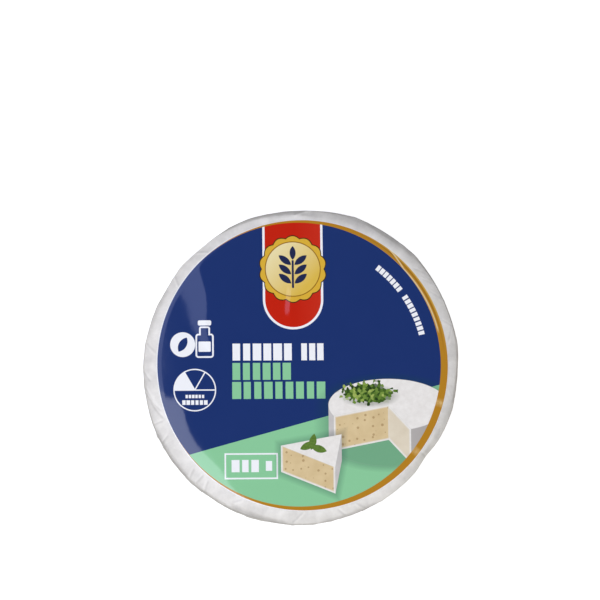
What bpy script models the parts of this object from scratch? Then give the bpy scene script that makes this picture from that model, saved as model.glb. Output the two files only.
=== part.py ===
"""A wrapped round of soft cheese, lying flat with its round paper label up.

Two solids: the wrapped cheese, a puck with soft edges whose white wrap is pleated down the side
and folded in straight overlapping pleats over the base, and the thin round label on its top.
Metres, +Z up. The origin is the middle of the base, and +Y is the top of the label.
"""

import bisect
import math

import bpy

# The pack
PACK_RADIUS = 0.0530  # mean radius at the widest, half way up the side
PACK_HEIGHT = 0.0250  # to the middle of the wrap's top
TOP_EDGE = 0.0075  # radius of the soft upper edge
BASE_EDGE = 0.0050  # radius of the tighter lower edge
CROWN = 0.0006  # how much higher the middle of the top is than where its edge begins to turn
SIDE_BULGE = 0.0004  # how far the middle of the side stands out
OVAL = 0.00065  # the outline is this much longer along OVAL_ANGLE and shorter across it
OVAL_ANGLE = math.radians(46.5)
ROUND_TOP_RADIUS = 0.0450  # inside this radius the top is round, whatever the outline does

# The folds of the wrap, anticlockwise from +X in degrees: where each pleat's edge runs down the
# side, and how far the wrap is flattened between it and the next one, in metres.
PLEATS = (
    (12, 0.0001), (31, 0.0002), (50, 0.0001), (67, 0.0001), (88, 0.0004), (112, 0.0005),
    (141, 0.0005), (167, 0.0001), (186, 0.0003), (205, 0.0001), (226, 0.0003), (250, 0.0002),
    (271, 0.0003), (300, 0.0009), (343, 0.0003),
)
CORNER = 0.00015  # how far a pleat's edge stands out of the mean outline
SIDE_STEP = 0.00045  # a pleat's edge stands this far over the next one at the foot of the side
BASE_STEP = 0.00060  # and this far over it on the base
PLEAT_COLUMNS = (0.0, 0.05, 0.20, 0.40, 0.60, 0.80)  # shares of a pleat where its mesh has an edge
PRESSED = 0.45  # share of a pleat's width that is pressed flat on the base
IRIS_RADIUS = 0.0070  # the pleats' edges run straight over the base, touching this circle
KNOT_RADIUS = 0.0090  # the flat middle of the base, where they all end

# The label
LABEL_RADIUS = 0.0479
LABEL_THICKNESS = 0.00030
GAP = 0.0003  # left between the two solids

# The meshes
TOP_STEPS = 7
TOP_EDGE_STEPS = 7
SIDE_STEPS = 3
BASE_EDGE_STEPS = 5
BASE_STEPS = 5
LABEL_RIM_STEPS = 3
CLOSE = 0.00001  # points nearer to each other than this are one point
SHARP_FOLD = math.radians(35)  # an edge that bends more than this is shaded sharp

# Base colours and roughness
WRAP_WHITE = (0.76, 0.76, 0.75, 1.0)
WRAP_ROUGHNESS = 0.45
LABEL_BLUE = (0.014, 0.031, 0.147, 1.0)
LABEL_ROUGHNESS = 0.2


def clear_scene():
    """Removes what the startup scene holds."""
    for old in list(bpy.data.objects):
        bpy.data.objects.remove(old)


def ease(value):
    """A smooth step from 0 to 1."""
    value = min(1.0, max(0.0, value))
    return value * value * (3 - 2 * value)


def top_height(radius):
    """The height of the pack's top at a distance from its axis, with its soft edge."""
    turn = PACK_RADIUS - TOP_EDGE
    height = PACK_HEIGHT - CROWN * (min(radius, turn) / turn) ** 2
    if radius > turn:
        height -= TOP_EDGE - math.sqrt(TOP_EDGE**2 - (radius - turn) ** 2)
    return height


def wrap_profile():
    """The pack's half section, as (radius, height) from the middle of the top to that of the base."""
    turn = PACK_RADIUS - TOP_EDGE
    points = [(turn * i / TOP_STEPS, top_height(turn * i / TOP_STEPS)) for i in range(TOP_STEPS)]
    for i in range(TOP_EDGE_STEPS + 1):
        angle = math.pi / 2 * i / TOP_EDGE_STEPS
        fallen = TOP_EDGE * (1 - math.cos(angle))
        points.append((turn + TOP_EDGE * math.sin(angle), top_height(turn) - fallen))
    side_top = points[-1][1]
    for i in range(1, SIDE_STEPS):
        share = i / SIDE_STEPS
        bulge = SIDE_BULGE * math.sin(math.pi * share)
        points.append((PACK_RADIUS + bulge, side_top + (BASE_EDGE - side_top) * share))
    for i in range(BASE_EDGE_STEPS + 1):
        angle = math.pi / 2 * i / BASE_EDGE_STEPS
        radius = PACK_RADIUS - BASE_EDGE * (1 - math.cos(angle))
        points.append((radius, BASE_EDGE * (1 - math.sin(angle))))
    flat = PACK_RADIUS - BASE_EDGE
    for i in range(1, BASE_STEPS + 1):
        points.append((flat + (KNOT_RADIUS - flat) * i / BASE_STEPS, 0.0))
    points.append((0.0, 0.0))
    return points


def label_profile():
    """The label's half section: it lies on the top, GAP clear of it, and bends over the soft edge."""
    turn = PACK_RADIUS - TOP_EDGE
    radii = [turn * i / TOP_STEPS for i in range(TOP_STEPS + 1)]
    radii += [turn + (LABEL_RADIUS - turn) * i / LABEL_RIM_STEPS for i in range(1, LABEL_RIM_STEPS + 1)]
    under = [(radius, top_height(radius) + GAP) for radius in radii]
    over = [(radius, height + LABEL_THICKNESS) for radius, height in under]
    return over + under[::-1]


def turned(name, profile, pack):
    """A closed solid turned from a half section round Z, with a column of faces for each step."""
    columns = len(PLEATS) * len(PLEAT_COLUMNS)
    section = bpy.data.meshes.new(name + "_section")
    edges = [(i, i + 1) for i in range(len(profile) - 1)]
    section.from_pydata([(radius, 0.0, height) for radius, height in profile], edges, [])
    piece = bpy.data.objects.new(name, section)
    pack.objects.link(piece)
    turning = piece.modifiers.new("Turning", "SCREW")
    turning.axis = "Z"
    turning.angle = 2 * math.pi
    turning.steps = columns
    turning.render_steps = columns
    turning.use_merge_vertices = True
    turning.merge_threshold = CLOSE
    evaluated = piece.evaluated_get(bpy.context.evaluated_depsgraph_get())
    piece.data = bpy.data.meshes.new_from_object(evaluated)
    piece.modifiers.clear()
    return piece


def pleat_angle(column):
    """The angle down the side, in radians, and the share of its pleat, of a column of the mesh."""
    pleat, part = divmod(column, len(PLEAT_COLUMNS))
    start = PLEATS[pleat][0]
    end = PLEATS[(pleat + 1) % len(PLEATS)][0] + (360 if pleat + 1 == len(PLEATS) else 0)
    share = PLEAT_COLUMNS[part]
    return math.radians(start + (end - start) * share), share


def outline_offset(angle):
    """How far the outline stands out of a circle at an angle: an oval, flattened between folds."""
    turned_by = math.degrees(angle) % 360
    starts = [start for start, _ in PLEATS]
    pleat = bisect.bisect_right(starts, turned_by) - 1
    if pleat < 0:
        turned_by += 360
    start, flattened = PLEATS[pleat]
    end = PLEATS[(pleat + 1) % len(PLEATS)][0]
    share = (turned_by - start) / ((end - start) % 360)
    oval = OVAL * math.cos(2 * (angle - OVAL_ANGLE))
    return oval + CORNER - (CORNER + flattened) * 4 * share * (1 - share)


def iris_turn(radius):
    """How far a pleat's straight edge has turned round the axis, from the base's rim inwards."""
    rim = math.acos(IRIS_RADIUS / (PACK_RADIUS - BASE_EDGE))
    return rim - math.acos(IRIS_RADIUS / max(radius, KNOT_RADIUS))


def pleated(radius, height, column):
    """Where the wrap's point lies once the wrap is folded round the cheese."""
    angle, share = pleat_angle(column)
    outward = (radius - ROUND_TOP_RADIUS) / (PACK_RADIUS - ROUND_TOP_RADIUS)
    moved = radius + outline_offset(angle) * ease(outward)
    on_base = height < CLOSE
    down = ease((PACK_HEIGHT - TOP_EDGE / 2 - height) / (PACK_HEIGHT - TOP_EDGE / 2 - BASE_EDGE))
    step = SIDE_STEP * down * (share if share > 0 else 1.0)
    if not on_base:
        moved -= step * min(1.0, height / BASE_EDGE)
    sunk = 1.0 if share == 0 else max(0.0, share - PRESSED) / (1 - PRESSED)
    lifted = BASE_STEP * sunk * ease((radius - KNOT_RADIUS) / KNOT_RADIUS)
    if height < BASE_EDGE:
        height += lifted * (1 - height / BASE_EDGE)
    if on_base:
        angle += iris_turn(radius)
    return moved * math.cos(angle), moved * math.sin(angle), height


def fold_wrap(piece):
    """Moves the turned puck's points to the pleats' places."""
    columns = len(PLEATS) * len(PLEAT_COLUMNS)
    for corner in piece.data.vertices:
        radius = math.hypot(corner.co.x, corner.co.y)
        column = round(math.atan2(corner.co.y, corner.co.x) / (2 * math.pi) * columns) % columns
        corner.co = pleated(radius, corner.co.z, column)


def dress(piece, colour, roughness):
    """Gives a piece its plain material, and smooth shading with sharp folds."""
    material = bpy.data.materials.new(piece.name)
    material.use_nodes = True
    shader = material.node_tree.nodes["Principled BSDF"]
    shader.inputs["Base Color"].default_value = colour
    shader.inputs["Roughness"].default_value = roughness
    shader.inputs["Metallic"].default_value = 0.0
    piece.data.materials.append(material)
    piece.data.shade_smooth()
    piece.data.set_sharp_from_angle(angle=SHARP_FOLD)


def centre_on_origin(pieces, outermost):
    """Slides the pieces together so that the middle of the outermost one's box is on the Z axis."""
    corners = [corner.co for corner in outermost.data.vertices]
    for axis in (0, 1):
        places = [corner[axis] for corner in corners]
        middle = (min(places) + max(places)) / 2
        for piece in pieces:
            piece.location[axis] = -middle


def main():
    clear_scene()
    pack = bpy.data.collections.new("wrapped_round_of_soft_cheese")
    bpy.context.scene.collection.children.link(pack)
    wrap = turned("wrapped_cheese", wrap_profile(), pack)
    fold_wrap(wrap)
    dress(wrap, WRAP_WHITE, WRAP_ROUGHNESS)
    label = turned("label", label_profile(), pack)
    dress(label, LABEL_BLUE, LABEL_ROUGHNESS)
    centre_on_origin((wrap, label), outermost=wrap)


main()
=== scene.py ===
"""The looks of a wrapped round of soft cheese, lying with its printed label up.

Two pieces stand for the two solids of the frame: the white wrap, pleated down the side and over the
base, and the glossy label. Metres, +Z up, +Y towards the top of the label. The print's own measures
are millimetres from the middle of the label, with X to the right and Y up.
"""

import bisect
import math

import bmesh
import bpy
from mathutils import Matrix, Vector, noise


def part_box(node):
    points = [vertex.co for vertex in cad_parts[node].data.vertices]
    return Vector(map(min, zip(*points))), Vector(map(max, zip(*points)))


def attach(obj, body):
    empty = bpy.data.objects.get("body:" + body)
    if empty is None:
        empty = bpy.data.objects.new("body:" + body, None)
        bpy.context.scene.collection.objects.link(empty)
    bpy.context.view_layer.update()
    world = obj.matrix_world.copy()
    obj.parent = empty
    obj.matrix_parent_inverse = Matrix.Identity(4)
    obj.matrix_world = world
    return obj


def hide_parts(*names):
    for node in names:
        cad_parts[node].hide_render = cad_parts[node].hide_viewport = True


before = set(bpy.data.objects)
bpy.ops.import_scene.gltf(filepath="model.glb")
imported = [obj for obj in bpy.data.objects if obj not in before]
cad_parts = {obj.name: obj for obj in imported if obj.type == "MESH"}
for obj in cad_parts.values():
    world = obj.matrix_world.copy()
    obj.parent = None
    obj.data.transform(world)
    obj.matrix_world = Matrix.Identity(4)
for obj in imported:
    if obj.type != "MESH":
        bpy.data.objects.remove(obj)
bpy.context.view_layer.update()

# The round; where the frame's shoulder is an even bend, this one is a bevel with facets
LABEL_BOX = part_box("label")
AXIS = (LABEL_BOX[0] + LABEL_BOX[1]) / 2  # the round's own middle, a hair off the origin
PACK_RADIUS = 0.0530  # mean radius at the widest
PACK_HEIGHT = 0.0250  # to the middle of the wrap's top
BASE_EDGE = 0.0050  # radius of the lower edge
CROWN = 0.0006  # how much higher the middle of the top is than where its edge begins to bend
SIDE_BULGE = 0.0004  # how far the middle of the side stands out
OVAL = 0.00065  # the outline is this much longer along OVAL_ANGLE and shorter across it
OVAL_ANGLE = math.radians(46.5)
ROUND_TOP_RADIUS = 0.0450  # inside this radius the top is round, whatever the outline does
TURN = 0.04757  # radius where the top begins to bend down
FOOT = PACK_RADIUS - BASE_EDGE  # radius where the base begins to bend up

# The shoulder, a bevel that ends in a tight bend: each a way from its start and the slope in degrees
SHOULDER = ((0.0, 3.0), (0.0008, 20.0), (0.0053, 40.0), (0.0071, 90.0))
EDGE_WAY = TURN + SHOULDER[2][0]  # way along the section to the bevel's outer edge

# Where the pleats' edges run down the side, in degrees anticlockwise from +X
PLEATS = (12, 31, 50, 67, 88, 112, 141, 167, 186, 205, 226, 250, 271, 300, 343)
STEP_TOP = 0.0145  # height where the steps between pleats begin
SIDE_STEP = 0.00045  # a pleat's edge stands this far over the next one at the foot of the side
BASE_STEP = 0.00060  # and this far over it on the base
PRESSED = 0.45  # share of a pleat's width that is pressed flat on the base
IRIS_RADIUS = 0.0070  # the pleats' edges run straight over the base, touching this circle
KNOT_RADIUS = 0.0090  # the flat middle of the base, where they all end

# Facets where the wrap is pulled flat at the shoulder: from an angle to another in degrees, how far in
# from the bevel's edge each reaches at its start and its end, how deep it is pressed, how far the fold
# along its inner edge stands out, and how dark the shade painted on it is
FACETS = (
    (-16, 9, 0.0016, 0.0008, 0.00055, 0.0, 0.6), (4, 46, 0.0009, 0.0010, 0.00060, 0.0, 0.5),
    (43, 70, 0.0026, 0.0016, 0.00036, 0.00004, 0.5), (70, 110, 0.0008, 0.0010, 0.00065, 0.0, 0.4),
    (86, 131, 0.0036, 0.0004, 0.0, 0.00055, 0.9), (118, 140, 0.0003, 0.0003, 0.00045, 0.0, 0.0),
    (143, 158, 0.0003, 0.0003, 0.00035, 0.0, 0.0), (150, 171, 0.0026, 0.0006, 0.00005, 0.00015, 0.4),
    (180, 202, 0.0006, 0.0008, 0.00014, 0.0, 0.2), (202, 226, 0.0010, 0.0010, 0.00008, 0.0, 0.8),
    (224, 247, 0.0003, 0.0003, 0.00036, 0.0, 0.0), (242, 266, 0.0024, 0.0008, 0.00022, 0.00008, 0.8),
    (276, 300, 0.0010, 0.0012, 0.00010, 0.0, 0.8), (322, 351, 0.0040, 0.0014, 0.0, 0.00012, 0.2),
    # This band presses nothing and raises no fold; it only paints shade on the shoulder
    (48, 106, 0.0044, 0.0044, 0.0, 0.0, 0.4),
)

# Tucks that draw the outline in: each its middle and half its width in degrees, and its depth
TUCKS = ((324, 7, 0.00065), (323, 22, 0.00045))

# Folds that stand out of the shoulder, with painted shade along their right side and painted light along
# their left: each from an angle in degrees and a way along the section to another, and its height
FOLDS = (
    (16, 0.0522, 9, 0.0490, 0.00016), (18, 0.0490, 15, 0.0520, 0.00012), (30, 0.0489, 25, 0.0522, 0.00014),
    (36, 0.0489, 31, 0.0524, 0.00016), (41, 0.0490, 36, 0.0518, 0.00012),
    (86, 0.0527, 93, 0.0498, 0.00014), (131, 0.0492, 134, 0.0526, 0.00008),
    (148, 0.0492, 146, 0.0522, 0.00008), (176, 0.0490, 173, 0.0526, 0.00014),
    (183, 0.0528, 186, 0.0508, 0.00012), (189, 0.0526, 193, 0.0508, 0.00014),
    (191, 0.0526, 198, 0.0490, 0.00018), (195, 0.0512, 201, 0.0489, 0.00014),
    (202, 0.0528, 202, 0.0500, 0.00010), (209, 0.0528, 208, 0.0504, 0.00008),
    (225, 0.0526, 224, 0.0500, 0.00010), (228, 0.0520, 228, 0.0492, 0.00008),
    (232, 0.0524, 231, 0.0498, 0.00008), (246, 0.0489, 244, 0.0505, 0.00012),
    (270, 0.0490, 267, 0.0524, 0.00008), (284, 0.0492, 286, 0.0520, 0.00010),
    (293, 0.0522, 291, 0.0496, 0.00010), (324, 0.0496, 324, 0.0526, 0.00014),
    (338, 0.0490, 334, 0.0518, 0.00012), (352, 0.0490, 347, 0.0524, 0.00014),
)
FOLD_FOOT = 0.0010  # from a fold's ridge to its foot
FOLD_REACH = 0.0200  # no fold reaches further round than this from its middle

# How far the wrap's small creases and the round's settling reach
SLACK = 0.00087  # the wrap's side lies this far inside the frame's, and its creases stand out from there
CREASES_START = 0.0120  # way past the turn over which the creases set in
CREASES_ON_BASE = 0.2  # share of their height that is left where the wrap faces down
SETTLING_END = 0.0110  # way past the label's edge over which the settling fades out

# The label
LABEL_RADIUS = 0.0482
LABEL_THICKNESS = 0.00016
LABEL_LIFT = 0.00004  # between the wrap and the label's underside

# The meshes
COLUMNS_PER_PLEAT = 60
CROWDING = 1.25  # how much a pleat's columns crowd towards its edge
TOP_STEPS = 22
BEND_STEPS = 30
SIDE_STEPS = 14
BASE_EDGE_STEPS = 12
BASE_STEPS = 16
LABEL_COLUMNS = 360
LABEL_FLAT_STEPS = 44
LABEL_RIM_STEPS = 8
CLOSE = 0.000001  # points nearer to each other than this are one point
SHARP_FOLD = math.radians(40)  # an edge that bends more than this is shaded sharp

# The disc of the bake's map on which each side of a piece lies: its middle and its radius
WRAP_OVER = (0.29, 0.29, 0.285)
WRAP_UNDER = (0.71, 0.71, 0.285)
LABEL_OVER = (0.5, 0.5, 0.49)
LABEL_UNDER = (0.068, 0.068, 0.055)

# The camera and the floor
CAMERA_DISTANCE = 0.80
CAMERA_TILT = math.radians(6.7)  # off the upright
CAMERA_SIDE = math.radians(232.7)  # the way it leans, anticlockwise from +X
WIDEST = Vector((0.0, 0.0, 0.012))  # the middle of the round's widest outline
AIM_ABOVE = 0.0228  # the picture's middle lies this far above the round's
LENS = 143.35
FLOOR_HALF = 6.0


def ease(value):
    """A smooth step from 0 to 1."""
    value = min(1.0, max(0.0, value))
    return value * value * (3 - 2 * value)


def srgb(red, green, blue):
    """A colour given in 8-bit display values, as a shader wants it."""
    def linear(value):
        share = value / 255
        return share / 12.92 if share <= 0.04045 else ((share + 0.055) / 1.055) ** 2.4
    return linear(red), linear(green), linear(blue), 1.0


# The form of the round


def slump(x, y):
    """How deep the round has slumped at its lower left edge, ever deeper outwards from its onset."""
    start, start_fade, end, end_fade = 191, 12, 258, 28  # degrees
    steepness = 7.0
    angle = math.degrees(math.atan2(y, x)) % 360
    there = ease((angle - start) / start_fade) * ease((end - angle) / end_fade)
    onset = 0.0413 - 0.0005 * math.sin(angle / 5)
    return steepness * there * max(0.0, math.hypot(x, y) - onset) ** 2


def shelf(x, y):
    """How deep the top steps down at the left, along a fold of the label that runs down and inwards."""
    slope = 0.055
    low, fade = -0.004, 0.012
    narrow, widening, widens_from, widens_over = 0.0044, 0.0070, -0.002, 0.034
    fold_x = -0.0296 - 0.14 * y + 0.0006 * math.sin(y / 0.0034 + 1.4)
    wide = narrow + widening * ease((y - widens_from) / widens_over)
    share = min(1.0, max(0.0, (fold_x - x) / wide))
    return slope * wide * share * (1 - share / 2) * ease((y - low) / fade)


def tab_crease(x, y):
    """How high the small wavy crease on the red tab stands."""
    rise, half_width = 0.00020, 0.0026
    low, low_fade, high, high_fade = 0.012, 0.006, 0.032, 0.008
    above = y - 0.021
    along = ease((y - low) / low_fade) * ease((high - y) / high_fade)
    crease_x = -0.0037 - 0.10 * above + 0.0012 * math.sin(above / 0.006)
    return rise * along * max(0.0, 1 - abs(x - crease_x) / half_width)


def settling(x, y):
    """How far the cheese's top, and all that lies on it, stands out of its even crown."""
    place = Vector((x, y, 0.0))
    uneven = 0.00012 * noise.noise(place / 0.032) + 0.00002 * noise.noise(place / 0.012)
    return uneven - slump(x, y) - shelf(x, y) + tab_crease(x, y)


def slope_at(way):
    """The shoulder's slope in radians at a way from its start."""
    after = next(n for n in range(1, len(SHOULDER)) if way <= SHOULDER[n][0] + CLOSE)
    (start, before), (end, beyond) = SHOULDER[after - 1], SHOULDER[after]
    return math.radians(before + (beyond - before) * (way - start) / (end - start))


def shoulder_bend():
    """The shoulder's section: each (radius, drop, slope, way), all from its start."""
    points = [(0.0, 0.0, slope_at(0.0), 0.0)]
    step = SHOULDER[-1][0] / BEND_STEPS
    while len(points) <= BEND_STEPS:
        radius, drop, _, way = points[-1]
        slope = slope_at(way + step / 2)
        radius += step * math.cos(slope)
        drop += step * math.sin(slope)
        points.append((radius, drop, slope_at(way + step), way + step))
    return points


BEND = shoulder_bend()
SIDE_TOP = PACK_HEIGHT - CROWN - BEND[-1][1]  # height where the side begins


def top_height(radius):
    """The height of the round's top at a distance from its axis, with the start of its shoulder."""
    height = PACK_HEIGHT - CROWN * (min(radius, TURN) / TURN) ** 2
    if radius > TURN:
        after = bisect.bisect_left([point[0] for point in BEND], radius - TURN)
        (start, before, _, _), (end, beyond, _, _) = BEND[after - 1], BEND[after]
        height -= before + (beyond - before) * (radius - TURN - start) / (end - start)
    return height


def wrap_section():
    """The wrap's half section from the middle of the top to that of the base.

    Each ring is (radius, height, tilt of the surface's outward direction, way along the section).
    """
    rings = []
    first_radii, step = (0.0, 0.007, 0.014), 0.0015
    radii = [*first_radii, *[first_radii[-1] + step * i for i in range(1, TOP_STEPS)]]
    for radius in radii:
        rings.append((radius, top_height(radius), math.pi / 2, radius))
    for outward, drop, slope, way in BEND:
        rings.append((TURN + outward, PACK_HEIGHT - CROWN - drop, math.pi / 2 - slope, TURN + way))
    side_radius, _, _, way = rings[-1]
    drop = SIDE_TOP - BASE_EDGE
    for i in range(1, SIDE_STEPS):
        share = i / SIDE_STEPS
        bulge = SIDE_BULGE * math.sin(math.pi * share)
        radius = side_radius + (PACK_RADIUS - side_radius) * share + bulge
        rings.append((radius, SIDE_TOP - drop * share, 0.0, way + drop * share))
    way += drop
    for i in range(BASE_EDGE_STEPS + 1):
        angle = math.pi / 2 * i / BASE_EDGE_STEPS
        radius = FOOT + BASE_EDGE * math.cos(angle)
        height = BASE_EDGE * (1 - math.sin(angle))
        rings.append((radius, height, -angle, way + BASE_EDGE * angle))
    way += BASE_EDGE * math.pi / 2
    base = [FOOT + (KNOT_RADIUS - FOOT) * i / BASE_STEPS for i in range(1, BASE_STEPS + 1)]
    knot = [KNOT_RADIUS * share for share in (0.6, 0.3, 0.0)]
    for radius in base + knot:
        rings.append((radius, 0.0, -math.pi / 2, way + FOOT - radius))
    return rings


def turned(section, columns):
    """A bmesh turned round Z from (radius, height) points, whose corners know their ring."""
    form = bmesh.new()
    ring_of = form.verts.layers.int.new("ring")
    corners = []
    for number, (radius, height) in enumerate(section):
        corner = form.verts.new((radius, 0.0, height))
        corner[ring_of] = number
        corners.append(corner)
    edges = [form.edges.new(pair) for pair in zip(corners, corners[1:])]
    bmesh.ops.spin(
        form, geom=corners + edges, cent=(0, 0, 0), axis=(0, 0, 1), dvec=(0, 0, 0),
        angle=2 * math.pi, steps=columns, use_merge=True, use_duplicate=False,
    )
    bmesh.ops.remove_doubles(form, verts=form.verts, dist=CLOSE)
    bmesh.ops.recalc_face_normals(form, faces=form.faces)
    return form


def pleat_place(column):
    """The angle down the side and the share of its pleat of a column; they crowd at the pleat's edge."""
    pleat, part = divmod(column, COLUMNS_PER_PLEAT)
    start = PLEATS[pleat]
    end = PLEATS[(pleat + 1) % len(PLEATS)] + (360 if pleat + 1 == len(PLEATS) else 0)
    share = (part / COLUMNS_PER_PLEAT) ** CROWDING
    return math.radians(start + (end - start) * share), share


def iris_turn(radius):
    """How far a pleat's straight edge has turned round the axis, from the base's rim inwards."""
    return math.acos(IRIS_RADIUS / FOOT) - math.acos(IRIS_RADIUS / max(radius, KNOT_RADIUS))


def pulled_flat(angle, way):
    """How deep the facets and tucks press the shoulder at a place of the unfolded wrap, and the facets'
    painted shade.
    """
    shade_start = 0.0014  # way past a facet's fold over which its shade sets in
    shade_below, shade_end = 0.0010, 0.0050  # way below the bevel's edge where it ends, and over which
    pressed = ridge = shade = 0.0
    turned_by = math.degrees(angle)
    for start, end, start_reach, end_reach, depth, rise, dark in FACETS:
        share = (turned_by - start) % 360 / (end - start)
        bow = 4 * share * (1 - share)
        if bow <= 0:
            continue
        reach = start_reach + (end_reach - start_reach) * share
        fold_way = EDGE_WAY - reach
        past = way - fold_way
        if past > 0:
            pressed = max(pressed, depth * bow * min(1.0, past / reach))
            # painted shade on the facet, setting in just past its fold
            shade = max(shade, dark * min(1.0, past / shade_start) * ease(bow * 2))
            ridge = max(ridge, rise * ease(bow * 2) * (1 - past / reach))
        else:
            ridge = max(ridge, rise * ease(bow * 2) * (1 + past / (fold_way - LABEL_RADIUS)))
    for middle, half, depth in TUCKS:
        near = 1 - abs((turned_by - middle + 180) % 360 - 180) / half
        pressed += depth * max(0.0, near) * ease((way - LABEL_RADIUS) / (EDGE_WAY - LABEL_RADIUS))
    return pressed - ridge, shade * (1 - ease((way - EDGE_WAY - shade_below) / shade_end))


def folded(angle, way):
    """How far the folds of the shoulder stand out at a place, and the painted shade and painted light beside
    them.
    """
    darkest, lightest, contrast = 0.75, -0.7, 3
    clear_start = 0.0008  # way past the label's edge over which the folds set in
    highest = shade = 0.0
    for start, start_way, end, end_way, rise in FOLDS:
        middle = math.radians((start + end) / 2)
        around = ((angle - middle + math.pi) % (2 * math.pi) - math.pi) * PACK_RADIUS
        if abs(around) > FOLD_REACH:
            continue
        length = Vector((math.radians(end - start) * PACK_RADIUS, end_way - start_way))
        offset = Vector((around, way - (start_way + end_way) / 2))
        share = min(0.5, max(-0.5, offset.dot(length) / length.length_squared))
        near = 1 - (offset - length * share).length / FOLD_FOOT
        if near > 0:
            highest = max(highest, rise * near)
            side = length.cross(offset) / (length.length * FOLD_FOOT)
            # painted shade on one side of the fold and painted light on the other
            shade += darkest * min(1.0, max(lightest, contrast * side)) * near
    clear = min(1.0, max(0.0, (way - LABEL_RADIUS) / clear_start))
    return highest * clear, shade * clear


def ridges(place, size, width, shift=(0, 0, 0)):
    """1 along the ridges of a pattern of this size and 0 beyond their width, a share of its depth."""
    return 1 - min(1.0, abs(noise.noise(place / size + Vector(shift))) / width)


def creasing(angle, way):
    """How far small creases and dents put the wrap out of the frame's side, at an unfolded place."""
    drawn_out = 0.22  # the creases run down the side, as the pattern is stretched that way
    around = Vector((math.cos(angle), math.sin(angle), 0.0)) * PACK_RADIUS
    lengthways = around + Vector((0.0, 0.0, way * drawn_out))
    long_ridges = ridges(lengthways, size=0.0085, width=0.16)
    fine_ridges = ridges(lengthways, size=0.0040, width=0.20, shift=(7, 3, 1))
    place = around + Vector((0.0, 0.0, way))
    dents = noise.noise(place / 0.0075) + 0.5 * noise.noise(place / 0.0032)
    standing = 0.00013 * long_ridges + 0.00007 * fine_ridges + 0.00008 * dents
    return ease((way - TURN) / CREASES_START) * (standing - SLACK)


def wrapped(ring, column):
    """Where the wrap's point lies once the wrap is folded round the cheese, and the painted shading it gets.
    """
    radius, height, tilt, way = ring
    angle, share = pleat_place(column)
    pressed, painted_facet_shade = pulled_flat(angle, way)
    fold, painted_fold_shading = folded(angle, way)
    crease = creasing(angle, way) + fold
    reach = min(radius, LABEL_RADIUS)
    settled = settling(reach * math.cos(angle), reach * math.sin(angle))
    settled *= ease(1 - (way - LABEL_RADIUS) / SETTLING_END)
    outward = (radius - ROUND_TOP_RADIUS) / (PACK_RADIUS - ROUND_TOP_RADIUS)
    moved = radius + OVAL * math.cos(2 * (angle - OVAL_ANGLE)) * ease(outward)
    on_base = height < CLOSE
    down = ease((STEP_TOP - height) / (STEP_TOP - BASE_EDGE))
    if not on_base:
        moved -= SIDE_STEP * down * (share if share > 0 else 1.0) * min(1.0, height / BASE_EDGE)
    sunk = 1.0 if share == 0 else max(0.0, share - PRESSED) / (1 - PRESSED)
    if height < BASE_EDGE:
        lifted = BASE_STEP * sunk * ease((radius - KNOT_RADIUS) / KNOT_RADIUS)
        crease *= (1 - CREASES_ON_BASE) * (1 - abs(math.sin(tilt))) + CREASES_ON_BASE
        height += lifted * (1 - height / BASE_EDGE)
        moved -= pressed * min(1.0, radius / FOOT) ** 3
    else:
        crease -= pressed
    if on_base:
        angle += iris_turn(radius)
        crease = min(0.0, crease) * ease((radius - KNOT_RADIUS) / KNOT_RADIUS)
    moved += crease * math.cos(tilt)
    height += crease * math.sin(tilt) + settled
    place = Vector((moved * math.cos(angle), moved * math.sin(angle), max(0.0, height)))
    return place, painted_facet_shade + painted_fold_shading


def bake_disc(form, disc, whole_way, turned_way, faces):
    """Lays faces on a disc of the bake's map, whose radius stands for the whole way from its middle.

    turned_way gives a corner's angle and its way from the middle.
    """
    bake = form.loops.layers.uv["OFBake"]
    x, y, radius = disc
    spread = radius / whole_way
    for face in faces:
        for loop in face.loops:
            angle, way = turned_way(loop.vert)
            offset = Vector((math.cos(angle), math.sin(angle))) * way * spread
            loop[bake].uv = Vector((x, y)) + offset


def parted(form, last_ring):
    """The faces of a turned form on its upper side, which ends with a ring, and on its lower side."""
    ring_of = form.verts.layers.int["ring"]
    upper = []
    lower = []
    for face in form.faces:
        side = upper if max(corner[ring_of] for corner in face.verts) <= last_ring else lower
        side.append(face)
    return upper, lower


def piece_of(form, name, finish):
    """The finished object of a bmesh, with its material, shaded smooth between sharp folds."""
    mesh = bpy.data.meshes.new(name)
    form.to_mesh(mesh)
    form.free()
    mesh.transform(Matrix.Translation((AXIS.x, AXIS.y, 0.0)))
    mesh.materials.append(finish)
    mesh.shade_smooth()
    mesh.set_sharp_from_angle(angle=SHARP_FOLD)
    piece = bpy.data.objects.new(name, mesh)
    bpy.context.scene.collection.objects.link(piece)
    return piece


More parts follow.
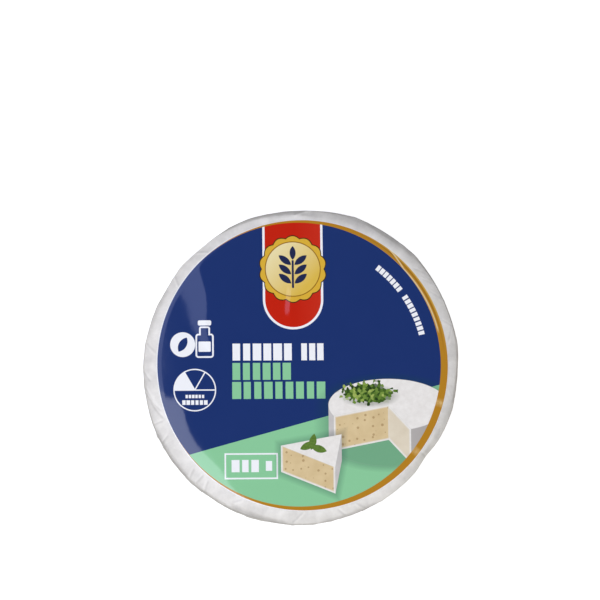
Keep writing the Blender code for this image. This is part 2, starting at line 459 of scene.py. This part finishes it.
def make_wrap():
    """The white wrap round the cheese, pleated down the side and over the base."""
    rings = wrap_section()
    columns = len(PLEATS) * COLUMNS_PER_PLEAT
    form = turned([ring[:2] for ring in rings], columns)
    ring_of = form.verts.layers.int["ring"]
    # a layer for the painted shading of facets and folds, which greys or whitens the paper's colour
    painted_shading_of = form.verts.layers.float.new("shade")
    unrolled_of = form.verts.layers.float_vector.new("unrolled")
    form.loops.layers.uv.new("OFBake")
    half_way_ring = next(n for n, ring in enumerate(rings) if ring[1] < PACK_HEIGHT / 2)
    half_way, whole_way = rings[half_way_ring][3], rings[-1][3]

    def column_of(corner):
        return round(math.atan2(corner.co.y, corner.co.x) / (2 * math.pi) * columns) % columns

    def from_top(corner):
        return 2 * math.pi * column_of(corner) / columns, rings[corner[ring_of]][3]

    def from_base(corner):
        angle, way = from_top(corner)
        return angle, whole_way - way

    upper, lower = parted(form, half_way_ring)
    bake_disc(form, WRAP_OVER, half_way, from_top, upper)
    bake_disc(form, WRAP_UNDER, whole_way - half_way, from_base, lower)
    for corner in form.verts:
        ring, column = rings[corner[ring_of]], column_of(corner)
        angle = pleat_place(column)[0]
        corner[unrolled_of] = (PACK_RADIUS * math.cos(angle), PACK_RADIUS * math.sin(angle), ring[3])
        corner.co, corner[painted_shading_of] = wrapped(ring, column)
    bmesh.ops.recalc_face_normals(form, faces=form.faces)
    return piece_of(form, "pleated_wrap", wrap_finish())


def make_label():
    """The thin printed label, which lies on the wrap and bends over its soft edge."""
    rim = LABEL_RADIUS - TURN
    radii = [TURN * i / LABEL_FLAT_STEPS for i in range(LABEL_FLAT_STEPS + 1)]
    radii += [TURN + rim * i / LABEL_RIM_STEPS for i in range(1, LABEL_RIM_STEPS + 1)]
    over = [(radius, LABEL_THICKNESS) for radius in radii]
    under = [(radius, 0.0) for radius in reversed(radii)]
    form = turned(over + under, LABEL_COLUMNS)
    ring_of = form.verts.layers.int["ring"]
    printed = form.faces.layers.float.new("printed")
    form.loops.layers.uv.new("OFBake")
    last_over = len(over) - 1
    upper, lower = parted(form, last_over)
    for face in upper:
        face[printed] = 1.0

    def from_middle(corner):
        return math.atan2(corner.co.y, corner.co.x), math.hypot(corner.co.x, corner.co.y)

    def from_middle_under(corner):
        angle, radius = from_middle(corner)
        return angle, radius + (LABEL_THICKNESS if corner[ring_of] > last_over else 0.0)

    bake_disc(form, LABEL_OVER, LABEL_RADIUS, from_middle, upper)
    bake_disc(form, LABEL_UNDER, LABEL_RADIUS, from_middle_under, lower)
    for corner in form.verts:
        radius = math.hypot(corner.co.x, corner.co.y)
        corner.co.z += top_height(radius) + LABEL_LIFT + settling(corner.co.x, corner.co.y)
    return piece_of(form, "printed_label", label_finish())


# The finishes


class Value:
    """One output of a shader node, on which Python's operators add Math nodes."""

    def __init__(self, finish, socket):
        self.finish = finish
        self.socket = socket

    def __add__(self, other):
        return self.finish.maths("ADD", self, other)

    def __radd__(self, other):
        return self.finish.maths("ADD", other, self)

    def __sub__(self, other):
        return self.finish.maths("SUBTRACT", self, other)

    def __rsub__(self, other):
        return self.finish.maths("SUBTRACT", other, self)

    def __mul__(self, other):
        return self.finish.maths("MULTIPLY", self, other)

    def __rmul__(self, other):
        return self.finish.maths("MULTIPLY", other, self)

    def __truediv__(self, other):
        return self.finish.maths("DIVIDE", self, other)

    def __neg__(self):
        return self.finish.maths("SUBTRACT", 0.0, self)

    def __abs__(self):
        return self.finish.maths("ABSOLUTE", self)

    def beside(self, output):
        """Another output of the same node."""
        return Value(self.finish, self.socket.node.outputs[output])


class Finish:
    """The shader nodes of one material or of the surroundings."""

    def __init__(self, owner):
        owner.use_nodes = True
        self.owner = owner
        self.tree = owner.node_tree
        self.tree.nodes.clear()

    def add(self, kind, settings, sockets, output=0):
        """A node of a kind: its settings are made first, then its sockets are set or linked."""
        node = self.tree.nodes.new(kind)
        for name, value in settings.items():
            if name == "stops":
                set_stops(node.color_ramp, value)
            else:
                setattr(node, name, value)
        for name, value in sockets.items():
            if isinstance(value, Value):
                self.tree.links.new(value.socket, node.inputs[name])
            else:
                node.inputs[name].default_value = value
        return Value(self, node.outputs[output] if node.outputs else None)

    def read(self, layer, output):
        """What a layer of the piece's own mesh holds at each place."""
        return self.add("ShaderNodeAttribute", {"attribute_name": layer}, {}, output)

    def maths(self, operation, *values, clamped=False):
        settings = {"operation": operation, "use_clamp": clamped}
        return self.add("ShaderNodeMath", settings, dict(enumerate(values)))

    def vectors(self, operation, *values, output=0):
        return self.add("ShaderNodeVectorMath", {"operation": operation}, dict(enumerate(values)), output)

    def mixed(self, share, first, second):
        """The first colour where share is 0 and the second where it is 1."""
        return self.add("ShaderNodeMix", {"data_type": "RGBA"}, {0: share, 6: first, 7: second}, 2)

    def speckle(self, place, size, detail=2.0, roughness=0.5):
        """Noise from 0 to 1 whose blots are about this size, in the units of the place."""
        sockets = {"Vector": place, "Scale": 1 / size, "Detail": detail, "Roughness": roughness}
        return self.add("ShaderNodeTexNoise", {}, sockets)

    def lifted(self, height, rise, under=None):
        """A bump of that rise in metres where height is 1, on top of another."""
        sockets = {"Height": height, "Distance": rise, "Strength": 1.0}
        if under:
            sockets["Normal"] = under
        return self.add("ShaderNodeBump", {}, sockets)


def set_stops(ramp, stops):
    """Gives a colour ramp its stops, each a place from 0 to 1 and a grey or a colour."""
    while len(ramp.elements) < len(stops):
        ramp.elements.new(0.5)
    for element, (place, colour) in zip(ramp.elements, stops):
        element.position = place
        element.color = colour if hasattr(colour, "__len__") else (colour, colour, colour, 1.0)


def material(name):
    """A new material's finish, and Object coordinates for it."""
    finish = Finish(bpy.data.materials.new(name))
    place = finish.add("ShaderNodeTexCoord", {}, {}, "Object")
    return finish, place


def shaded(finish, **sockets):
    """Ends a material in a Principled shader with these sockets."""
    named = {name.replace("_", " "): value for name, value in sockets.items()}
    shader = finish.add("ShaderNodeBsdfPrincipled", {}, named)
    finish.add("ShaderNodeOutputMaterial", {}, {"Surface": shader})
    return finish.owner


def wrap_finish():
    """White waxed paper: a satin sheen, streaks where it is gathered, painted shade on its pulled-flat
    facets and painted shade and light beside its folds.

    The shoulder is clouded; the side below it is paler, with clearer streaks.
    """
    white, grey = srgb(238, 235, 229), srgb(190, 187, 182)
    below_edge, fading = 0.0020, 0.0060  # way past the bevel's edge where the side's look begins
    finish, place = material("waxed_paper")
    shade = finish.read("shade", "Fac")
    unrolled = finish.read("unrolled", "Vector")
    way = parts(unrolled)[0].beside(2)
    down = finish.maths("MULTIPLY_ADD", way - EDGE_WAY - below_edge, 1 / fading, 0.0, clamped=True)
    gathered = finish.vectors("MULTIPLY", unrolled, (1, 1, 0.3))
    streaks = finish.speckle(gathered, 0.0022, detail=3.0, roughness=0.6)
    clouds = finish.speckle(place, 0.0050, detail=4.0, roughness=0.6)
    fibres = finish.speckle(place, 0.0006, detail=2.0)
    uneven = (clouds - 0.5) * (1.1 - 0.85 * down) + (streaks - 0.5) * (0.5 + 0.5 * down)
    # painted shading: the paper is greyed on the facets and on one side of each fold, and whitened on the
    # folds' other side
    tone = finish.maths("ADD", 0.70 * shade, uneven - 0.25 * down + 0.25, clamped=True)
    facets = finish.add("ShaderNodeTexVoronoi", {}, {"Vector": unrolled, "Scale": 1 / 0.0042})
    crumple = finish.speckle(place, 0.0024, detail=3.0)
    bump = finish.lifted(streaks, rise=0.00005)
    bump = finish.lifted(facets, rise=0.00022, under=bump)
    bump = finish.lifted(crumple, rise=0.00010, under=bump)
    bump = finish.lifted(fibres, rise=0.000008, under=bump)
    return shaded(
        finish, Base_Color=finish.mixed(tone, white, grey), Roughness=0.40 + 0.12 * fibres,
        Normal=bump, IOR=1.45, Coat_Weight=0.2, Coat_Roughness=0.3,
    )


# The print, whose measures are in millimetres
MM = 0.001
SOFT_LINE = 0.09  # how wide an edge of ink blurs
PRINT_TURN = math.radians(0.6)  # the label was stuck on turned by this much

BLUE = srgb(26, 50, 108)
MINT = srgb(141, 205, 155)
WHITE_INK = srgb(246, 247, 248)
RED = srgb(198, 33, 12)
GOLD = srgb(184, 130, 34)
CAST_SHADE = srgb(24, 66, 70)  # the field where the picture's cheese shades it


def covered(distance, soft=SOFT_LINE):
    """1 inside a shape and 0 outside, from the signed distance to its edge."""
    return distance.finish.maths("MULTIPLY_ADD", distance, -1 / soft, 0.5, clamped=True)


def both(*distances):
    """The distance to what shapes have in common."""
    joined = distances[0]
    for distance in distances[1:]:
        joined = joined.finish.maths("MAXIMUM", joined, distance)
    return joined


def either(*distances):
    """The distance to several shapes together."""
    joined = distances[0]
    for distance in distances[1:]:
        joined = joined.finish.maths("MINIMUM", joined, distance)
    return joined


def disc(place, x, y, radius):
    """The distance to a round's edge."""
    return place.finish.vectors("DISTANCE", place, (x, y, 0), output=1) - radius


def slab(place, left, right, low, high, corner=0.0):
    """A rectangle; with round corners, its inside is only as deep as their radius."""
    finish = place.finish
    middle = ((left + right) / 2, (low + high) / 2, 0)
    half = ((right - left) / 2 - corner, (high - low) / 2 - corner, 0)
    offset = finish.vectors("ABSOLUTE", finish.vectors("SUBTRACT", place, middle))
    beyond = finish.vectors("SUBTRACT", offset, half)
    if corner == 0:
        return both(*parts(beyond))
    return finish.vectors("LENGTH", finish.vectors("MAXIMUM", beyond, (0, 0, 0)), output=1) - corner


def line_round(distance, width):
    """A line just inside a shape's edge."""
    return abs(distance + width / 2) - width / 2


def under_line(place, x, y, angle):
    """The side to the right of a line through a point that runs at an angle in degrees."""
    turn = math.radians(angle)
    across = (math.sin(turn), -math.cos(turn), 0)
    offset = x * across[0] + y * across[1]
    return offset - place.finish.vectors("DOT_PRODUCT", place, across, output=1)


def sides(place, *corners):
    """The distances to the sides of a convex shape whose corners go round anticlockwise."""
    found = []
    for (x, y), (next_x, next_y) in zip(corners, corners[1:] + corners[:1]):
        length = math.hypot(next_x - x, next_y - y)
        across = ((next_y - y) / length, (x - next_x) / length, 0)
        offset = x * across[0] + y * across[1]
        found.append(place.finish.vectors("DOT_PRODUCT", place, across, output=1) - offset)
    return found


def local(place, x, y, angle, width=1.0, height=1.0):
    """The place measured from a motif's middle, turned with it, in units of its size."""
    sockets = {
        "Vector": place, "Location": (x, y, 0), "Rotation": (0, 0, math.radians(angle)),
        "Scale": (width, height, 1),
    }
    return place.finish.add("ShaderNodeMapping", {"vector_type": "TEXTURE"}, sockets)


def parts(place):
    """A place's X and Y."""
    apart = place.finish.add("ShaderNodeSeparateXYZ", {}, {0: place})
    return apart, apart.beside(1)


def leaf(place, x, y, angle, length, width):
    """A leaf's outline, pointed at both ends."""
    across, half = width / 2, length / 2
    bow = (half**2 + across**2) / (2 * across)
    own_x, own_y = parts(local(place, x, y, angle))
    finish = place.finish
    away = abs(own_y) + (bow - across)
    return finish.maths("SQRT", own_x * own_x + away * away) - bow


def blocks(along, across, count, pitch, height, seed):
    """A row of upright blocks of uneven width, from places along the row and across it."""
    finish = along.finish
    cell = finish.maths("FLOOR", along / pitch)
    draw = finish.add("ShaderNodeTexWhiteNoise", {"noise_dimensions": "1D"}, {"W": cell + seed})
    half_width = 0.33 + 0.10 * draw  # as a share of the pitch
    sideways = abs(along / pitch - cell - 0.5) - half_width
    ends = abs(along - count * pitch / 2) - count * pitch / 2
    return both(sideways * pitch, abs(across) - height / 2, ends)


class Print:
    """What is printed so far, layer on layer."""

    def __init__(self, finish, colour):
        self.finish = finish
        self.colour = colour

    def lay(self, share, colour):
        self.colour = self.finish.mixed(share, self.colour, colour)


def lay_fields(sheet, place):
    """The blue field and the mint one under it."""
    tone = sheet.finish.speckle(place, 9.0, detail=1.0)
    sheet.lay(0.5 * tone, srgb(31, 54, 112))
    sheet.lay(covered(under_line(place, -8.4, -21.6, 15.3)), MINT)


def lay_tab(sheet, place):
    """The red tab from the top edge, with a white border and a round lower end."""
    middle, half, low, border = -3.1, 10.0, 11.5, 0.75
    x, y = parts(place)
    finish = sheet.finish
    beyond = finish.maths("MINIMUM", y - (low + half), 0.0)
    distance = finish.maths("SQRT", (x - middle) * (x - middle) + beyond * beyond) - half
    sheet.lay(covered(distance), WHITE_INK)
    red = finish.mixed(covered(x - 2.0, soft=9.0), srgb(202, 46, 27), RED)
    sheet.lay(covered(distance + border), red)


def lay_roundel(sheet, place):
    """The gold roundel on the tab: a scalloped edge, an inner line and a sprig."""
    middle_x, middle_y, radius, inner = -3.1, 31.6, 10.2, 9.1
    scallops, scallop_depth, outline, inner_line = 14, 0.8, 0.35, 0.16
    finish = sheet.finish
    own = local(place, middle_x, middle_y, 0)
    x, y = parts(own)
    from_middle = finish.vectors("LENGTH", own, output=1)
    angle = finish.maths("ARCTAN2", y, x)
    lobes = abs(finish.maths("SINE", angle * (scallops / 2)))
    edge = from_middle - (radius + scallop_depth * lobes)
    sheet.lay(covered(edge - outline), srgb(52, 38, 22))
    sheet.lay(covered(edge), srgb(222, 178, 58))
    # painted sheen: the gold grows paler towards the upper left
    painted_sheen = finish.maths("MULTIPLY_ADD", y - x, 0.045, 0.45, clamped=True)
    gold = finish.mixed(painted_sheen, srgb(224, 188, 78), srgb(240, 226, 172))
    sheet.lay(covered(from_middle - inner), gold)
    sheet.lay(covered(abs(from_middle - inner) - inner_line), srgb(150, 106, 30))
    mirrored = finish.add("ShaderNodeCombineXYZ", {}, {0: abs(x), 1: y, 2: 0.0})
    stem = slab(mirrored, -0.35, 0.35, -6.4, 3.0, corner=0.3)
    leaves = [leaf(mirrored, 2.6, -3.2 + 3.1 * n, 38, 5.2, 2.1) for n in range(3)]
    tip = leaf(own, 0.0, 5.4, 90, 4.6, 2.0)
    sheet.lay(covered(either(stem, tip, *leaves)), srgb(34, 42, 78))


def lay_title(sheet, place):
    """Three rows of upright blocks, white over mint."""
    left, second_word, height = -23.7, -1.0, 5.6
    rows = (
        (left, 4.05, 6, 3.40, 11, WHITE_INK), (second_word, 4.05, 3, 2.68, 28, WHITE_INK),
        (left, -2.35, 6, 3.32, 45, MINT), (left, -8.6, 9, 3.47, 62, MINT),
    )
    x, y = parts(place)
    for start, middle, count, pitch, seed, colour in rows:
        sheet.lay(covered(blocks(x - start, y - middle, count, pitch, height, seed)), colour)


def lay_arc(sheet, place):
    """Two short rows of small white blocks along the right edge."""
    radius, pitch, height = 40.7, 1.62, 2.0
    finish = sheet.finish
    x, y = parts(place)
    angle = finish.maths("ARCTAN2", y, x)
    across = finish.vectors("LENGTH", place, output=1) - radius
    for start, count, seed in ((52.5, 7, 5), (34.0, 9, 41)):
        along = (math.radians(start) - angle) * radius
        sheet.lay(covered(blocks(along, across, count, pitch, height, seed)), WHITE_INK)


def lay_signs(sheet, place):
    """Three small plain signs at the left: a disc with a drop in it, a can and a part-filled ring."""
    disc_x, disc_y, disc_radius = -39.6, 6.6, 4.1
    drop = leaf(place, disc_x, disc_y, 60, 5.4, 2.6)
    sheet.lay(covered(both(disc(place, disc_x, disc_y, disc_radius), -drop)), WHITE_INK)
    body = slab(place, -35.4, -29.4, 2.2, 10.2, corner=1.0)
    neck = slab(place, -34.2, -30.6, 9.0, 12.6, corner=0.7)
    lid = slab(place, -34.6, -30.2, 12.9, 14.6, corner=0.5)
    band = slab(place, -34.4, -30.4, 4.2, 7.6, corner=0.3)
    sheet.lay(covered(either(line_round(either(body, neck), 0.55), lid, band)), WHITE_INK)
    ring_x, ring_y, ring_radius, line, half_spoke = -35.7, -8.4, 7.0, 0.4, 0.2
    ring = disc(place, ring_x, ring_y, ring_radius)
    x, y = parts(place)
    spoke, last_spoke = [under_line(place, ring_x, ring_y, angle) for angle in (60, 120)]
    upper = both(ring, ring_y - y)
    spokes = both(upper, either(abs(spoke) - half_spoke, abs(last_spoke) - half_spoke))
    level = both(ring, abs(y - ring_y) - half_spoke)
    filled = both(upper, -last_spoke)
    sheet.lay(covered(either(line_round(ring, line), level, spokes, filled)), WHITE_INK)
    sheet.lay(covered(blocks(x + 38.9, y + 10.5, 6, 1.07, 1.1, 23)), WHITE_INK)
    sheet.lay(covered(blocks(x + 40.0, y + 12.5, 6, 1.43, 1.5, 57)), WHITE_INK)


def lay_box(sheet, place):
    """The outlined box on the mint field, with four blocks in it."""
    middle, line = 33.4, 0.5
    x, y = parts(place)
    sheet.lay(covered(line_round(slab(place, -26.1, -8.6, -37.7, -29.2), line)), WHITE_INK)
    sheet.lay(covered(blocks(x + 24.1, y + middle, 3, 3.2, 4.0, 3)), WHITE_INK)
    sheet.lay(covered(blocks(x + 12.9, y + middle, 1, 2.7, 3.2, 9)), WHITE_INK)


def oval(place, x, y, wide, deep):
    """A disc seen aslant, by its half width and half depth."""
    return (place.finish.vectors("LENGTH", local(place, x, y, 0, wide, deep), output=1) - 1.0) * deep


def lay_cut_face(sheet, place, paste, rind, corners):
    """A cut face of cheese with rind along its second, third and fourth side."""
    rind_width = 0.55
    first, *others = sides(place, *corners)
    sheet.lay(covered(both(first, *others)), rind)
    sheet.lay(covered(both(first, *[side + rind_width for side in others]), soft=0.5), paste)


def lowered(corner, by):
    """A corner of the picture, moved straight down."""
    return corner[0], corner[1] - by


def lay_round(sheet, place, rind, wall, paste, pale_paste):
    """The picture's round cheese with a wedge taken out at the front."""
    middle_x, middle_y, wide, deep, tall = 28.0, -13.6, 19.8, 8.6, 11.5
    first_cut, last_cut, beyond_rim = 204, 292, 1.6
    finish = sheet.finish
    shaded_ground = finish.mixed(0.35, sheet.colour, CAST_SHADE)
    x, y = parts(place)
    held = finish.maths("MINIMUM", finish.maths("MAXIMUM", y, middle_y - tall), middle_y)
    flat_x = (x - middle_x) / wide
    flat_y = (y - held) / deep
    drum = (finish.maths("SQRT", flat_x * flat_x + flat_y * flat_y) - 1.0) * deep
    sheet.lay(0.5 * covered(drum - 0.6, soft=3.2), CAST_SHADE)
    sheet.lay(covered(drum), wall)
    sheet.lay(covered(oval(place, middle_x, middle_y, wide, deep)), rind)

    def rim(angle, reach=1.0):
        turn = math.radians(angle)
        return middle_x + reach * wide * math.cos(turn), middle_y + reach * deep * math.sin(turn)

    centre, first, last = (middle_x, middle_y), rim(first_cut), rim(last_cut)
    low_centre, low_first, low_last = [lowered(corner, tall) for corner in (centre, first, last)]
    far_first, far_last = [lowered(rim(angle, beyond_rim), tall) for angle in (first_cut, last_cut)]
    floor = both(oval(place, *low_centre, wide, deep), *sides(place, far_first, far_last, low_centre))
    sheet.lay(covered(both(*sides(place, low_first, low_last, last, centre, first))), shaded_ground)
    sheet.lay(covered(floor), shaded_ground)
    lay_cut_face(sheet, place, paste, rind, (low_centre, centre, first, low_first))
    lay_cut_face(sheet, place, pale_paste, rind, (centre, low_centre, low_last, last))


def lay_wedge(sheet, place, rind, wall, paste):
    """The picture's wedge, which lies in front of the round."""
    tall = 8.6
    tip, back, front = (-7.6, -26.8), (12.4, -23.2), (10.2, -34.0)
    low_tip, low_back, low_front = [lowered(corner, tall) for corner in (tip, back, front)]
    outline = both(*sides(place, low_tip, low_front, low_back, back, tip))
    sheet.lay(0.5 * covered(outline - 0.8, soft=3.0), CAST_SHADE)
    sheet.lay(covered(both(*sides(place, front, low_front, low_back, back))), wall)
    lay_cut_face(sheet, place, paste, rind, (front, tip, low_tip, low_front))
    sheet.lay(covered(both(*sides(place, tip, front, back))), rind)


def lay_herbs(sheet, place):
    """The picture's chopped herbs on the round, and three leaves on the wedge."""
    finish = sheet.finish
    sockets = {"Vector": place, "Scale": 1 / 0.85, "Randomness": 1.0}
    bits = finish.add("ShaderNodeTexVoronoi", {"voronoi_dimensions": "2D"}, sockets)
    heap = oval(bits.beside("Position"), 21.5, -9.6, 8.4, 3.4)
    tone = finish.add("ShaderNodeSeparateXYZ", {}, {0: bits.beside("Color")})
    stops = (
        (0.0, srgb(38, 62, 24)), (0.45, srgb(72, 104, 38)), (0.8, srgb(116, 146, 62)),
        (1.0, srgb(168, 186, 96)),
    )
    green = finish.add("ShaderNodeValToRGB", {"stops": stops}, {0: tone})
    sheet.lay(0.5 * covered(oval(place, 21.9, -10.6, 8.8, 3.4), soft=1.2), srgb(120, 124, 110))
    sheet.lay(covered(heap + 1.6 * (tone.beside(1) - 0.5), soft=0.2), green)
    leaf_green = finish.mixed(finish.speckle(place, 0.8), srgb(58, 92, 34), srgb(120, 152, 66))
    lying = ((1.2, -26.9, 24), (4.9, -27.9, -18), (2.9, -25.6, 78))
    leaves = [leaf(place, x, y, angle, 5.4, 2.4) for x, y, angle in lying]
    sheet.lay(covered(either(*leaves)), leaf_green)


def lay_picture(sheet, place):
    """The small picture at the lower right: a cut round, a wedge of it and some herbs."""
    finish = sheet.finish
    mottle = finish.speckle(place, 2.2, detail=4.0, roughness=0.6)
    x, _ = parts(place)
    rind = finish.mixed(mottle, srgb(252, 249, 243), srgb(222, 217, 209))
    roundness = finish.maths("MULTIPLY_ADD", x, 0.022, 0.1, clamped=True)
    lit_wall = finish.mixed(mottle, srgb(226, 223, 219), srgb(196, 192, 188))
    wall = finish.mixed(roundness, lit_wall, srgb(176, 171, 166))
    sockets = {"Vector": place, "Scale": 1 / 2.6}
    holes = finish.add("ShaderNodeTexVoronoi", {"voronoi_dimensions": "2D"}, sockets)
    rare = finish.add("ShaderNodeSeparateXYZ", {}, {0: holes.beside("Color")})
    hole = covered(holes - 0.02 - 0.16 * rare, soft=0.05)
    blush = finish.speckle(place, 4.5, detail=3.0)
    paste = finish.mixed(blush, srgb(232, 210, 164), srgb(206, 180, 132))
    paste = finish.mixed(0.55 * hole, paste, srgb(150, 112, 62))
    pale_paste = finish.mixed(blush, srgb(236, 226, 204), srgb(214, 200, 172))
    lay_round(sheet, place, rind, wall, paste, pale_paste)
    lay_wedge(sheet, place, rind, wall, paste)
    lay_herbs(sheet, place)


def lay_gold_edge(sheet, place):
    """The gold crescent round the print: lines of painted sheen and a painted glint at its upper right, and
    two painted glints below.
    """
    inner_x, inner_y, inner_radius = -1.26, 0.2, 46.95
    glint_radius, half_glint, glint_middle, bends_from, bend = 46.32, 0.20, 33.5, 43.0, 0.19
    glint_patch_angles = (-38, -16)
    finish = sheet.finish
    inner_edge = disc(place, inner_x, inner_y, inner_radius)
    x, y = parts(place)
    radius = finish.vectors("LENGTH", place, output=1)
    angle = finish.maths("ARCTAN2", y, x) / math.radians(1)
    to_rim = LABEL_RADIUS / MM - radius
    share = finish.maths("DIVIDE", inner_edge, inner_edge + to_rim, clamped=True)
    stops = (
        (0.0, srgb(196, 146, 56)), (0.20, srgb(176, 124, 38)), (0.36, srgb(188, 136, 44)),
        (0.55, srgb(150, 100, 24)), (0.72, srgb(192, 142, 46)), (0.95, srgb(218, 186, 106)),
    )
    # painted sheen: light and dark lines across the band, mixed in strongest round 38 degrees at the upper
    # right
    sheen_lines = finish.add("ShaderNodeValToRGB", {"stops": stops}, {0: share})
    sheen_share = finish.maths("MULTIPLY_ADD", abs(angle - 38), -math.radians(2.6), 1.6, clamped=True)
    bent = bend * finish.maths("MAXIMUM", angle - bends_from, 0.0)
    ends = finish.maths("MULTIPLY_ADD", abs(angle - glint_middle), -0.4, 8.4, clamped=True)
    # painted glint: a pale line along the band at its upper right, bending out to the rim
    glint = ends * covered(abs(radius - glint_radius - bent) - half_glint, soft=0.3)
    gold = finish.mixed(0.8 * glint, finish.mixed(sheen_share, GOLD, sheen_lines), srgb(236, 218, 168))
    # painted glints: two blotchy pale patches across the band at the lower right
    patchy_glint = 1.6 * finish.speckle(place, 0.9, detail=3.0) - 0.3
    for glint_patch_angle in glint_patch_angles:
        near = finish.maths("MULTIPLY_ADD", abs(angle - glint_patch_angle), -0.5, 1.0, clamped=True)
        gold = finish.mixed(near * patchy_glint, gold, srgb(226, 196, 134))
    sheet.lay(covered(-inner_edge), gold)


def label_finish():
    """Glossy printed paper."""
    finish, object_place = material("glossy_print")
    sockets = {
        "Vector": object_place, "Location": (AXIS.x, AXIS.y, 0.0), "Rotation": (0, 0, PRINT_TURN),
        "Scale": (MM, MM, MM),
    }
    turned_place = finish.add("ShaderNodeMapping", {"vector_type": "TEXTURE"}, sockets)
    place = finish.vectors("MULTIPLY", turned_place, (1, 1, 0))
    sheet = Print(finish, BLUE)
    lay_fields(sheet, place)
    lay_tab(sheet, place)
    lay_roundel(sheet, place)
    lay_title(sheet, place)
    lay_arc(sheet, place)
    lay_signs(sheet, place)
    lay_box(sheet, place)
    lay_picture(sheet, place)
    lay_gold_edge(sheet, place)
    unprinted_edge = -disc(place, 0.06, 0.0, 48.02)
    sheet.lay(covered(unprinted_edge), WHITE_INK)
    sheet.lay(1.0 - finish.read("printed", "Fac"), WHITE_INK)
    roughness = 0.05 + 0.03 * finish.speckle(object_place, 0.012)
    ripple = finish.lifted(finish.speckle(object_place, 0.0018, detail=2.0), rise=0.000006)
    return shaded(finish, Base_Color=sheet.colour, Roughness=roughness, Normal=ripple, IOR=1.58)


# The stage


def make_camera():
    """The photograph's view: nearly straight down, from a little left of and below the round."""
    level = Vector((math.cos(CAMERA_SIDE), math.sin(CAMERA_SIDE), 0.0))
    back = level * math.sin(CAMERA_TILT) + Vector((0, 0, math.cos(CAMERA_TILT)))
    place = WIDEST + back * CAMERA_DISTANCE
    aim = WIDEST + Vector((0.0, AIM_ABOVE, 0.0))
    out = (place - aim).normalized()
    right = Vector((0, 1, 0)).cross(out).normalized()
    up = out.cross(right)
    lens = bpy.data.cameras.new("camera")
    lens.lens = LENS
    lens.sensor_width = 36.0
    lens.clip_start = 0.01
    camera = bpy.data.objects.new("camera", lens)
    turn = Matrix((right, up, out)).transposed().to_4x4()
    camera.matrix_world = Matrix.Translation(place) @ turn
    bpy.context.scene.collection.objects.link(camera)
    bpy.context.scene.camera = camera


def make_floor():
    """A plain white floor. Its own glow keeps it white, and it neither lights the pack nor mirrors in it."""
    form = bmesh.new()
    bmesh.ops.create_grid(form, x_segments=1, y_segments=1, size=FLOOR_HALF)
    mesh = bpy.data.meshes.new("floor")
    form.to_mesh(mesh)
    form.free()
    finish, _ = material("white_floor")
    white = (0.95, 0.95, 0.95, 1.0)
    glow = {"Emission_Color": white, "Emission_Strength": 0.6}
    mesh.materials.append(shaded(finish, Base_Color=white, Roughness=0.9, **glow))
    floor = bpy.data.objects.new("floor", mesh)
    floor.visible_diffuse = False
    floor.visible_glossy = False
    bpy.context.scene.collection.objects.link(floor)


def make_panel(name, place, aim, width, height, power, colour):
    """A soft light panel that faces a point."""
    panel = bpy.data.lights.new(name, "AREA")
    panel.shape = "RECTANGLE"
    panel.size = width
    panel.size_y = height
    panel.energy = power
    panel.color = colour
    light = bpy.data.objects.new(name, panel)
    light.location = place
    light.rotation_euler = (Vector(aim) - Vector(place)).to_track_quat("-Z", "Y").to_euler()
    light.visible_camera = False
    bpy.context.scene.collection.objects.link(light)


def make_light():
    """Two softboxes overhead at the left, the rear one weaker, two small fills and a grey room.

    The room is dark overhead, which keeps the label's print deep, and brighter at the left.
    """
    left, height, wide = -0.5475, 1.2, 0.905
    for name, y, deep, power, colour in (
        ("softbox", -0.4125, 0.925, 6.7, (0.93, 0.98, 1.14)),
        ("rear_softbox", 0.475, 0.85, 2.8, (0.80, 0.90, 1.34)),
    ):
        make_panel(name, (left, y, height), (left, y, 0.0), wide, deep, power, colour)
    for name, place, power, colour in (
        ("fill", (0.62, -0.66, 0.70), 4.4, (1.0, 0.98, 0.95)),
        ("rear_fill", (-0.88, 0.36, 0.60), 2.0, (1.0, 0.98, 0.96)),
    ):
        make_panel(name, place, (0, 0, 0), 0.5, 0.5, power, colour)
    world = bpy.data.worlds.new("studio")
    bpy.context.scene.world = world
    finish = Finish(world)
    direction = finish.add("ShaderNodeTexCoord", {}, {}, "Generated")
    upward = finish.add("ShaderNodeSeparateXYZ", {}, {0: direction}).beside(2)
    # Each a height, from 0 straight down to 1 straight up, and how bright the room is there
    greys = ((0.0, 0.50), (0.47, 0.58), (0.54, 0.68), (0.88, 0.82), (0.965, 0.18), (1.0, 0.08))
    stops = [(height, (grey, 0.985 * grey, 0.96 * grey, 1.0)) for height, grey in greys]
    room = finish.add("ShaderNodeValToRGB", {"stops": stops}, {0: upward * 0.5 + 0.5})
    to_left = finish.vectors("DOT_PRODUCT", direction, (-0.92, -0.38, 0), output=1)
    lit = finish.maths("MULTIPLY_ADD", to_left, 2.2, 1.15, clamped=True)
    background = finish.add("ShaderNodeBackground", {}, {"Color": room, "Strength": 0.34 + 0.38 * lit})
    finish.add("ShaderNodeOutputWorld", {}, {"Surface": background})


def main():
    make_camera()
    make_floor()
    make_light()
    bpy.context.scene.view_settings.view_transform = "Standard"
    wrap = make_wrap()
    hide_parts("wrapped_cheese")
    label = make_label()
    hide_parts("label")
    for piece in (wrap, label):
        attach(piece, "root")


main()
